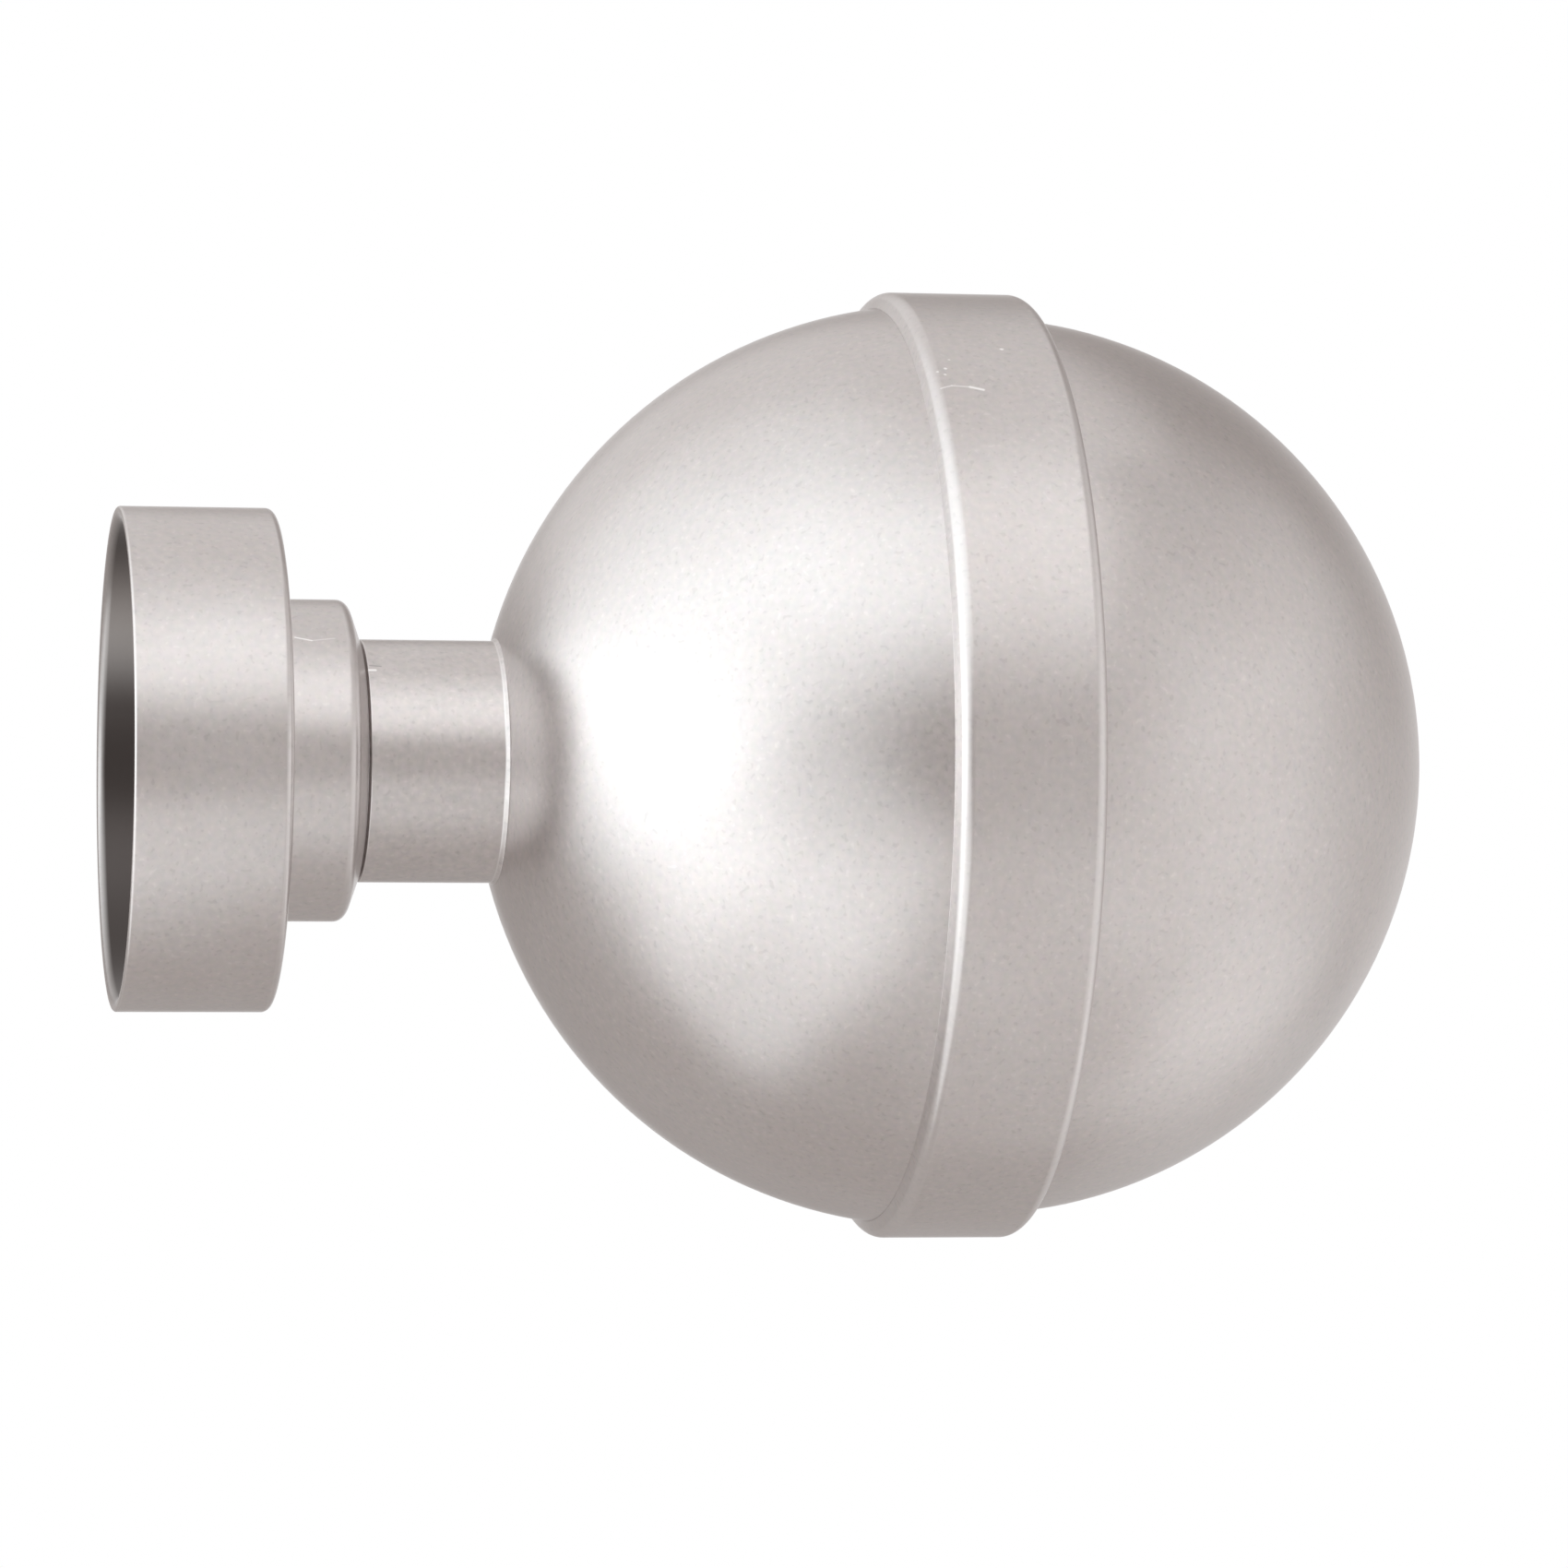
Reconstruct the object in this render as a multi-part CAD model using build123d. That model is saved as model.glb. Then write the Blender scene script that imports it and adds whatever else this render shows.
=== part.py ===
"""Curtain pole finial: a two-part hollow ball with a raised band, carried on a neck and a pole socket.

The pole's axis is X. The origin is the centre of the face that the pole's end butts against,
the pole leaves towards -X, the ball stands towards +X, and +Z is up. Sizes are in millimetres.
"""
import os
from math import sqrt

from build123d import *

# Pole and the socket that goes over its end
POLE_DIAMETER = 28.0
POLE_CLEARANCE = 0.2
SOCKET_WALL = 0.8
SOCKET_DEPTH = 8.4
SOCKET_BASE = 0.8
SOCKET_EDGE_ROUND = 0.5

# Sunk well in the socket's base, which takes the screw's head below the pole's end
WELL_RADIUS = 5.6
WELL_MOUTH_ROUND = 0.5
WELL_FLOOR_ROUND = 0.4

# Collar, a shallow pressed cap that stands open side down on the socket's base
COLLAR_DIAMETER = 19.2
COLLAR_LENGTH = 4.9
COLLAR_WALL = 0.8
COLLAR_ROUND = 1.1

# Neck, a turned spacer
NECK_DIAMETER = 14.5
NECK_LENGTH = 8.5
NECK_EDGE_ROUND = 0.3

# Ball, two pressed halves of one sheet thickness, one half's skirt inside the other's
BALL_DIAMETER = 55.7
BALL_SHEET = 0.7
SKIRT_CLEARANCE = 0.03
SKIRT_LAP = 3.6
FRONT_HALF_SHIFT = 2.25

# Band round the ball, a hoop with a flange turned in over the rear half's rim
BAND_WIDTH = 9.0
BAND_PROUD = 0.67
BAND_BEVEL = 0.8
BAND_EDGE_ROUND = 0.5
BAND_CLEARANCE = 0.03

# Pan head screw with a cross recess
SCREW_DIAMETER = 4.0
SCREW_LENGTH = 20.0
SCREW_HEAD_DIAMETER = 8.0
SCREW_HEAD_HEIGHT = 3.1
SCREW_HEAD_SIDE = 1.7
SCREW_TIP_CHAMFER = 0.5
SCREW_HOLE_CLEARANCE = 0.25
RECESS_SPAN = 4.4
RECESS_WIDTH = 1.0
RECESS_DEPTH = 1.9
RECESS_FLOOR_SPAN = 1.6

# Split spring washer
WASHER_DIAMETER = 7.6
WASHER_THICKNESS = 0.9
WASHER_BORE_CLEARANCE = 0.05
WASHER_SLIT = 0.7
WASHER_SLIT_ANGLE = 25.0

# Flanged hexagon nut fixed inside the ball
NUT_ACROSS_FLATS = 7.0
NUT_HEIGHT = 5.0
NUT_FLANGE_DIAMETER = 10.0
NUT_FLANGE_THICKNESS = 1.2
NUT_THREAD_CLEARANCE = 0.05

# Socket and collar, worked out
bore_radius = POLE_DIAMETER / 2 + POLE_CLEARANCE
socket_radius = bore_radius + SOCKET_WALL
collar_radius = COLLAR_DIAMETER / 2
collar_start = SOCKET_BASE
collar_end = collar_start + COLLAR_LENGTH
well_floor_back = collar_end - COLLAR_WALL
well_floor = well_floor_back - SOCKET_BASE
screw_radius = SCREW_DIAMETER / 2
screw_hole_radius = screw_radius + SCREW_HOLE_CLEARANCE

# Neck and ball, worked out
neck_radius = NECK_DIAMETER / 2
neck_start = collar_end
neck_end = neck_start + NECK_LENGTH
rear_radius = BALL_DIAMETER / 2
rear_inner_radius = rear_radius - BALL_SHEET
front_radius = rear_inner_radius - SKIRT_CLEARANCE
front_inner_radius = front_radius - BALL_SHEET
rear_centre = neck_end + sqrt(rear_radius**2 - neck_radius**2)
front_centre = rear_centre + FRONT_HALF_SHIFT

# Band and rims, worked out
band_start = rear_centre - BAND_WIDTH / 2
band_end = rear_centre + BAND_WIDTH / 2
band_radius = rear_radius + BAND_PROUD
band_inner_radius = rear_radius + BAND_CLEARANCE
flange_back = band_end - BALL_SHEET
rear_rim = flange_back - BAND_CLEARANCE
front_rim = rear_rim - SKIRT_LAP

# Fasteners, worked out
head_seat = well_floor - WASHER_THICKNESS
head_top = head_seat - SCREW_HEAD_HEIGHT
nut_seat = neck_end + BALL_SHEET


def turned(outline: Face) -> Solid:
    """The solid that an outline in the XY plane sweeps in one turn about the X axis."""
    return revolve(outline, Axis.X).solid()


def rounded(outline: Face, corners: list[tuple[float, float, float]]) -> Face:
    """The outline with each corner (x, radius, round) turned into an arc of its round."""
    for x, radius, corner_round in corners:
        nearest = outline.vertices().sort_by_distance(Vector(x, radius))[0]
        outline = outline.fillet_2d(corner_round, [nearest])
    return outline


def ball_point(centre: float, radius: float, x: float) -> tuple[float, float]:
    """The point above x on the circle about (centre, 0)."""
    return x, sqrt(max(radius**2 - (x - centre) ** 2, 0.0))


def ball_arc(centre: float, radius: float, start: float, end: float) -> Edge:
    """The arc from x = start to x = end on the circle about (centre, 0)."""
    middle = (start + end) / 2
    return ThreePointArc(*(ball_point(centre, radius, x) for x in (start, middle, end)))


def socket_cup() -> Solid:
    """Cup over the pole's end: full round lip, straight bore, base with a sunk well and a screw hole."""
    lip_round = SOCKET_WALL / 2
    lip_start = -SOCKET_DEPTH + lip_round
    lip = ThreePointArc(
        (lip_start, bore_radius),
        (-SOCKET_DEPTH, bore_radius + lip_round),
        (lip_start, socket_radius),
    )
    well_outer_radius = WELL_RADIUS + SOCKET_BASE
    walls = Polyline(
        (lip_start, socket_radius),
        (SOCKET_BASE, socket_radius),
        (SOCKET_BASE, well_outer_radius),
        (well_floor_back, well_outer_radius),
        (well_floor_back, screw_hole_radius),
        (well_floor, screw_hole_radius),
        (well_floor, WELL_RADIUS),
        (0, WELL_RADIUS),
        (0, bore_radius),
        (lip_start, bore_radius),
    )
    outline = make_face([lip, *walls.edges()]).face()
    return turned(
        rounded(
            outline,
            [
                (SOCKET_BASE, socket_radius, SOCKET_EDGE_ROUND),
                (0, WELL_RADIUS, WELL_MOUTH_ROUND),
                (well_floor_back, well_outer_radius, WELL_FLOOR_ROUND),
            ],
        )
    )


def collar_cap() -> Solid:
    """Pressed cap round the socket's well, with a rounded shoulder and a screw hole."""
    inner_radius = collar_radius - COLLAR_WALL
    outline = make_face(
        Polyline(
            (collar_start, inner_radius),
            (collar_start, collar_radius),
            (collar_end, collar_radius),
            (collar_end, screw_hole_radius),
            (well_floor_back, screw_hole_radius),
            (well_floor_back, inner_radius),
            close=True,
        )
    ).face()
    return turned(
        rounded(
            outline,
            [
                (collar_end, collar_radius, COLLAR_ROUND),
                (well_floor_back, inner_radius, COLLAR_ROUND - COLLAR_WALL),
            ],
        )
    )


def neck_spacer() -> Solid:
    """Turned bar between collar and ball, bored for the screw, its outer edges rounded."""
    outline = make_face(
        Polyline(
            (neck_start, screw_hole_radius),
            (neck_start, neck_radius),
            (neck_end, neck_radius),
            (neck_end, screw_hole_radius),
            close=True,
        )
    ).face()
    edges = [(x, neck_radius, NECK_EDGE_ROUND) for x in (neck_start, neck_end)]
    return turned(rounded(outline, edges))


def rear_half_ball() -> Solid:
    """Pressed half with a flat seat for the neck, a screw hole and a straight skirt."""
    seat_inner_radius = sqrt(rear_inner_radius**2 - (rear_centre - nut_seat) ** 2)
    skirt = Polyline(
        (rear_centre, rear_radius),
        (rear_rim, rear_radius),
        (rear_rim, rear_inner_radius),
        (rear_centre, rear_inner_radius),
    )
    seat = Polyline(
        (nut_seat, seat_inner_radius),
        (nut_seat, screw_hole_radius),
        (neck_end, screw_hole_radius),
        (neck_end, neck_radius),
    )
    outer = ball_arc(rear_centre, rear_radius, neck_end, rear_centre)
    inner = ball_arc(rear_centre, rear_inner_radius, rear_centre, nut_seat)
    return turned(make_face([outer, *skirt.edges(), inner, *seat.edges()]).face())


def front_half_ball() -> Solid:
    """Pressed half with a closed pole, its straight skirt lapped inside the rear half's."""
    pole = front_centre + front_radius
    skirt = Polyline(
        (front_centre, front_inner_radius),
        (front_rim, front_inner_radius),
        (front_rim, front_radius),
        (front_centre, front_radius),
    )
    outer = ball_arc(front_centre, front_radius, front_centre, pole)
    inner = ball_arc(front_centre, front_inner_radius, pole - BALL_SHEET, front_centre)
    axis_edge = Line((pole, 0), (pole - BALL_SHEET, 0))
    return turned(make_face([*skirt.edges(), outer, axis_edge, inner]).face())


def equator_band() -> Solid:
    """Hoop that hugs the rear half, bevelled on the neck side, with a flange over the rear rim."""
    foot = ball_point(rear_centre, band_inner_radius, band_start)
    walls = Polyline(
        foot,
        (band_start + BAND_BEVEL, band_radius),
        (band_end, band_radius),
        (band_end, rear_inner_radius),
        (flange_back, rear_inner_radius),
        (flange_back, band_inner_radius),
        (rear_centre, band_inner_radius),
    )
    hug = ball_arc(rear_centre, band_inner_radius, rear_centre, band_start)
    outline = make_face([*walls.edges(), hug]).face()
    return turned(rounded(outline, [(band_end, band_radius, BAND_EDGE_ROUND)]))


def tie_screw() -> Solid:
    """Pan head screw, its head in the socket's well and its tip in the nut."""
    head_radius = SCREW_HEAD_DIAMETER / 2
    tip = head_seat + SCREW_LENGTH
    crown_edge = (head_seat - SCREW_HEAD_SIDE, head_radius)
    crown_radius = (head_radius**2 + (SCREW_HEAD_HEIGHT - SCREW_HEAD_SIDE) ** 2) / (
        2 * (SCREW_HEAD_HEIGHT - SCREW_HEAD_SIDE)
    )
    crown = ball_arc(head_top + crown_radius, crown_radius, head_top, crown_edge[0])
    walls = Polyline(
        crown_edge,
        (head_seat, head_radius),
        (head_seat, screw_radius),
        (tip - SCREW_TIP_CHAMFER, screw_radius),
        (tip, screw_radius - SCREW_TIP_CHAMFER),
        (tip, 0),
        (head_top, 0),
    )
    blank = turned(make_face([crown, *walls.edges()]).face())
    return (blank - cross_recess()).solid()


def cross_recess() -> Part:
    """Two crossed wings, narrowed towards the floor, as the driver's point leaves them."""
    floor = head_top + RECESS_DEPTH
    wing = Box(RECESS_DEPTH, RECESS_SPAN, RECESS_WIDTH)
    wings = wing + Rot(90, 0, 0) * wing
    point = Rot(0, 90, 0) * Cone(RECESS_SPAN / 2, RECESS_FLOOR_SPAN / 2, RECESS_DEPTH)
    return Pos((head_top + floor) / 2, 0, 0) * (wings & point)


def spring_washer() -> Solid:
    """Split ring between the screw's head and the well's floor."""
    bore = screw_radius + WASHER_BORE_CLEARANCE
    ring = turned(
        make_face(
            Polyline(
                (head_seat, bore),
                (head_seat, WASHER_DIAMETER / 2),
                (well_floor, WASHER_DIAMETER / 2),
                (well_floor, bore),
                close=True,
            )
        ).face()
    )
    cut = Box(2 * WASHER_THICKNESS, WASHER_SLIT, WASHER_DIAMETER, align=(Align.CENTER, Align.CENTER, Align.MIN))
    slit = Pos((head_seat + well_floor) / 2, 0, 0) * Rot(0, 0, WASHER_SLIT_ANGLE) * cut
    return (ring - slit).solid()


def weld_nut() -> Solid:
    """Hexagon nut with a round flange that lies on the inside of the ball's seat."""
    to_axis = Pos(nut_seat, 0, 0) * Rot(0, 90, 0)
    bottom = (Align.CENTER, Align.CENTER, Align.MIN)
    flange = Cylinder(NUT_FLANGE_DIAMETER / 2, NUT_FLANGE_THICKNESS, align=bottom)
    hexagon = extrude(RegularPolygon(NUT_ACROSS_FLATS / 2, 6, major_radius=False), NUT_HEIGHT)
    thread = Cylinder(screw_radius + NUT_THREAD_CLEARANCE, NUT_HEIGHT, align=bottom)
    return (to_axis * (flange + hexagon - thread)).solid()


PIECES = {
    "socket_cup": socket_cup,
    "collar_cap": collar_cap,
    "neck_spacer": neck_spacer,
    "rear_half_ball": rear_half_ball,
    "front_half_ball": front_half_ball,
    "equator_band": equator_band,
    "tie_screw": tie_screw,
    "spring_washer": spring_washer,
    "weld_nut": weld_nut,
}

os.makedirs("parts", exist_ok=True)
for node, build in PIECES.items():
    export_step(build(), f"parts/{node}.step")
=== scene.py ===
"""Dressed scene of a ball finial for a curtain pole, in satin nickel.

The pole's axis is X and the pole leaves towards -X, the ball stands towards +X, +Z is up.
Blender works in metres. The sizes in this file are in millimetres, as a maker gives them.
"""
import logging
import math
from dataclasses import dataclass
from enum import Enum

import bpy
import numpy as np
from mathutils import Matrix, Vector


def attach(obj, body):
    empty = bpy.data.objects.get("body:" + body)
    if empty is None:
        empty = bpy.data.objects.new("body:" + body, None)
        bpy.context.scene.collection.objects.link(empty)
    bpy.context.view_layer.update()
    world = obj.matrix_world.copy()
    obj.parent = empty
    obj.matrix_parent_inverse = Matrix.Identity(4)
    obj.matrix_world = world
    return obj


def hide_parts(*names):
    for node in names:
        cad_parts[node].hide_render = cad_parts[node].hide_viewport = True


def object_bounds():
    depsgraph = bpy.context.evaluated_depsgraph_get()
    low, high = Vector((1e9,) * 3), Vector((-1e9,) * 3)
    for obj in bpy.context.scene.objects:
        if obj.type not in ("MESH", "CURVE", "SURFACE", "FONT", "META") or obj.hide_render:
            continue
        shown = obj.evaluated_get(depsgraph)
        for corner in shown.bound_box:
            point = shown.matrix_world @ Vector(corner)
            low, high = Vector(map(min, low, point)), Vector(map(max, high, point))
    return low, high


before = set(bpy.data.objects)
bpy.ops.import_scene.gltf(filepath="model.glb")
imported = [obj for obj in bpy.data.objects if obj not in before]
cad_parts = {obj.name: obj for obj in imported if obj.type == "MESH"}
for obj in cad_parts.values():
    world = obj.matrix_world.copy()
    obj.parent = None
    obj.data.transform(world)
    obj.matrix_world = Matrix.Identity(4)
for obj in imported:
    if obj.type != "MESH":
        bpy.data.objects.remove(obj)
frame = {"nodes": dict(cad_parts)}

MM = 0.001
CAD_BOX = [list(corner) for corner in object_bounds()]
LOG = logging.getLogger("finial")

# Sizes that more than one sub-assembly uses
BALL_RADIUS = 27.85
NECK_RADIUS = 7.25
HOLE_RADIUS = 2.25

# Round of a corner that stays sharp, and the length below which a line counts as a point
SHARP = 0.0
TINY = 1e-9

# A colour, or a point in millimetres
Triple = tuple[float, float, float]
WHITE = (1.0, 1.0, 1.0, 1.0)

# Sockets of a colour mix node: factor, first colour, second colour and result
MIX_INPUTS = (0, 6, 7)
MIX_RESULT = 2


class Slot(Enum):
    """Material slots of the part's record."""

    SATIN_NICKEL = "satin_nickel"
    ZINC_PLATE = "zinc_plate"


class Zone(Enum):
    """Attributes that a turned mesh carries: its rounded edges, and the share of the bore's painted
    shade.
    """

    EDGE = "edge"
    BORE = "bore"


class Tint(Enum):
    """Colours of the soft boxes' light."""

    COOL = (0.925, 1.0, 1.03)
    WARM = (0.968, 1.0, 1.015)


@dataclass(frozen=True)
class Corner:
    """Corner of a turned outline, with the run that leads from it to the next corner.

    The run is straight, or an arc about the point (centre, 0) where a centre is given.
    """

    x: float
    radius: float
    round: float = 0.05
    centre: float | None = None
    # Share of the bore's painted shade on the run that follows
    bore: float = 0.0


@dataclass(frozen=True)
class Profile:
    """Points of an outline in the plane of axis and radius, with its rounded edges and the share of
    painted shade at each.
    """

    points: np.ndarray
    edge: np.ndarray
    bore: np.ndarray


def run_tangents(start: Corner, end: Corner) -> tuple[np.ndarray, np.ndarray]:
    """Directions in which the run from one corner to the next starts and ends.

    On a straight run both are the difference of the corners over its length. On an arc each
    is the radius turned by a right angle, to the side that the run goes to.

    Args:
        start: Corner where the run starts, which holds the arc's centre.
        end: Corner where the run ends.

    Returns:
        The unit tangent at the start and the one at the end.
    """
    first = np.array([start.x, start.radius])
    last = np.array([end.x, end.radius])
    chord = last - first
    if start.centre is None:
        unit = chord / np.linalg.norm(chord)
        return unit, unit
    tangents = []
    for point in (first, last):
        spoke = point - np.array([start.centre, 0.0])
        turned = np.array([-spoke[1], spoke[0]]) / np.linalg.norm(spoke)
        tangents.append(turned * np.sign(turned @ chord))
    return tangents[0], tangents[1]


def run_points(start: Corner, end: Corner, cut_start: float, cut_end: float) -> np.ndarray:
    """Points along a run between the rounds of its two corners.

    The stations are spread evenly, with one more close to each end, so that the smooth
    shading of a round doesn't reach into the run.

    Args:
        start: Corner where the run starts.
        end: Corner where the run ends.
        cut_start: Length that the first corner's round takes off the run.
        cut_end: Length that the second corner's round takes off it.

    Returns:
        An array of points (x, radius).
    """
    first = np.array([start.x, start.radius])
    last = np.array([end.x, end.radius])
    hold = 0.03
    least_room = 4 * hold
    straight_step = 3.0
    arc_step = math.radians(2.0)
    if start.centre is None:
        length = np.linalg.norm(last - first)
        count = max(2, int(length / straight_step) + 2)
    else:
        hub = np.array([start.centre, 0.0])
        reach = np.linalg.norm(first - hub)
        angles = np.unwrap([math.atan2(*(point - hub)[::-1]) for point in (first, last)])
        length = abs(angles[1] - angles[0]) * reach
        count = max(2, int(abs(angles[1] - angles[0]) / arc_step) + 2)
    stations = np.linspace(cut_start, length - cut_end, count)
    if stations[-1] - stations[0] > least_room:
        held = [stations[0] + hold, stations[-1] - hold]
        stations = np.unique(np.concatenate([stations, held]))
    share = (stations / length)[:, None]
    if start.centre is None:
        return first + (last - first) * share
    angle = angles[0] + (angles[1] - angles[0]) * share[:, 0]
    return hub + reach * np.stack([np.cos(angle), np.sin(angle)], axis=1)


def round_points(before: np.ndarray, corner: Corner, after: np.ndarray, turn: float) -> np.ndarray:
    """Points inside the round of a corner.

    The round is a conic through its two ends, drawn towards the corner with the cosine of
    half the turn as weight, which makes it an arc of a circle.

    Args:
        before: Point where the round starts.
        corner: Corner that is rounded.
        after: Point where the round ends.
        turn: Angle in radians by which the outline turns there.

    Returns:
        The points between the two ends.
    """
    facet = math.radians(9.0)
    count = max(2, int(turn / facet) + 1)
    share = np.linspace(0.0, 1.0, count + 1)[1:-1, None]
    weights = ((1 - share) ** 2, 2 * math.cos(turn / 2) * share * (1 - share), share**2)
    tip = np.array([corner.x, corner.radius])
    drawn = weights[0] * before + weights[1] * tip + weights[2] * after
    return drawn / (weights[0] + weights[1] + weights[2])


def outline(corners: list[Corner], closed: bool = True) -> Profile:
    """Outline of a turned piece with every corner rounded.

    Args:
        corners: The corners in order, each with the run that follows it.
        closed: Whether the last corner leads back to the first. An open outline starts and
            ends on the axis.

    Returns:
        The profile, with the rounds marked and the share of the bore's painted shade.
    """
    total = len(corners)
    runs = total if closed else total - 1
    tangents = [run_tangents(corners[i], corners[(i + 1) % total]) for i in range(runs)]
    turns = np.zeros(total)
    cuts = np.zeros(total)
    for i in range(total):
        if closed or 0 < i < total - 1:
            cosine = tangents[i - 1][1] @ tangents[i % runs][0]
            turns[i] = math.acos(max(-1.0, min(1.0, cosine)))
            cuts[i] = corners[i].round * math.tan(turns[i] / 2)
    lines = [
        run_points(corners[i], corners[(i + 1) % total], cuts[i], cuts[(i + 1) % total])
        for i in range(runs)
    ]
    points, edge, bore = [], [], []
    for i, line in enumerate(lines):
        following = (i + 1) % total
        points.append(line)
        edge.append(np.zeros(len(line)))
        bore.append(np.full(len(line), corners[i].bore))
        if turns[following] > 0:
            start = lines[following % runs][0]
            bend = round_points(line[-1], corners[following], start, turns[following])
            points.append(bend)
            edge.append(np.ones(len(bend)))
            blend = np.linspace(corners[i].bore, corners[following].bore, len(bend) + 2)[1:-1]
            bore.append(blend)
    return Profile(np.concatenate(points), np.concatenate(edge), np.concatenate(bore))


def smooth_step(value: np.ndarray, start: float, end: float) -> np.ndarray:
    """Step from 0 at start to 1 at end, with the slope 3t^2 - 2t^3 of the share t between."""
    share = np.clip((value - start) / (end - start), 0.0, 1.0)
    return share**2 * (3 - 2 * share)


def revolved(
    points: np.ndarray, around: int, closed: bool
) -> tuple[np.ndarray, list[list[int]]]:
    """Surface that a line of points sweeps in one turn about the X axis.

    A point at distance x along the axis and radius r goes to (x, r cos a, r sin a) for each
    angle a of the grid. A point on the axis becomes one shared vertex.

    Args:
        points: Points (x, radius) in order. Only the first and the last may lie on the axis.
        around: Number of steps in the turn.
        closed: Whether the last point leads back to the first.

    Returns:
        The vertices, ring by ring, and the faces.
    """
    poles = points[[0, -1], 1] < TINY
    sizes = np.full(len(points), around)
    sizes[[0, -1]] = np.where(poles, 1, around)
    starts = np.concatenate([[0], np.cumsum(sizes)[:-1]])
    angle = np.arange(around) * (2 * math.pi / around)
    grid = np.empty((len(points), around, 3))
    grid[..., 0] = points[:, None, 0]
    grid[..., 1] = points[:, None, 1] * np.cos(angle)
    grid[..., 2] = points[:, None, 1] * np.sin(angle)
    kept = np.arange(around)[None, :] < sizes[:, None]
    index = starts[:, None] + np.arange(around)[None, :] * (sizes[:, None] > 1)
    lower = index if closed else index[:-1]
    upper = np.roll(index, -1, axis=0) if closed else index[1:]
    quads = np.stack([lower, upper, np.roll(upper, -1, axis=1), np.roll(lower, -1, axis=1)], axis=-1)
    fans = []
    if poles[0]:
        fans += quads[0][:, [0, 1, 2]].tolist()
    if poles[1]:
        fans += quads[-1][:, [0, 1, 3]].tolist()
    whole = quads[int(poles[0]) : len(quads) - int(poles[1])]
    return grid[kept], whole.reshape(-1, 4).tolist() + fans


def turned_mesh(name: str, profile: Profile, around: int = 192) -> bpy.types.Object:
    """Piece that a profile sweeps in one turn, with its attributes for the finish and the painted
    shade.

    Args:
        name: Name of the piece.
        profile: Profile in millimetres, closed, or open with both ends on the axis.
        around: Number of steps in the turn.

    Returns:
        The piece, smooth shaded, at the origin.
    """
    points, edge, bore = profile.points, profile.edge, profile.bore
    ahead = np.roll(points, -1, axis=0)
    if np.sum(points[:, 0] * ahead[:, 1] - ahead[:, 0] * points[:, 1]) < 0:
        points, edge, bore = points[::-1], edge[::-1], bore[::-1]
    on_axis = points[:, 1] < TINY
    vertices, faces = revolved(points, around, closed=not on_axis.any())
    sizes = np.where(on_axis, 1, around)
    mesh = bpy.data.meshes.new(name)
    mesh.from_pydata((vertices * MM).tolist(), [], faces)
    for zone, value in ((Zone.EDGE, edge), (Zone.BORE, bore)):
        attribute = mesh.attributes.new(zone.value, "FLOAT", "POINT")
        attribute.data.foreach_set("value", np.repeat(value, sizes).astype(np.float32))
    return finished_object(name, mesh)


def finished_object(name: str, mesh: bpy.types.Mesh) -> bpy.types.Object:
    """Object for a mesh whose place is in its vertices.

    Args:
        name: Name of the piece.
        mesh: The mesh in metres.

    Returns:
        The object, linked to the scene, smooth shaded.
    """
    mesh.validate()
    mesh.polygons.foreach_set("use_smooth", np.ones(len(mesh.polygons), dtype=bool))
    mesh.update()
    piece = bpy.data.objects.new(name, mesh)
    bpy.context.scene.collection.objects.link(piece)
    return piece


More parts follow.
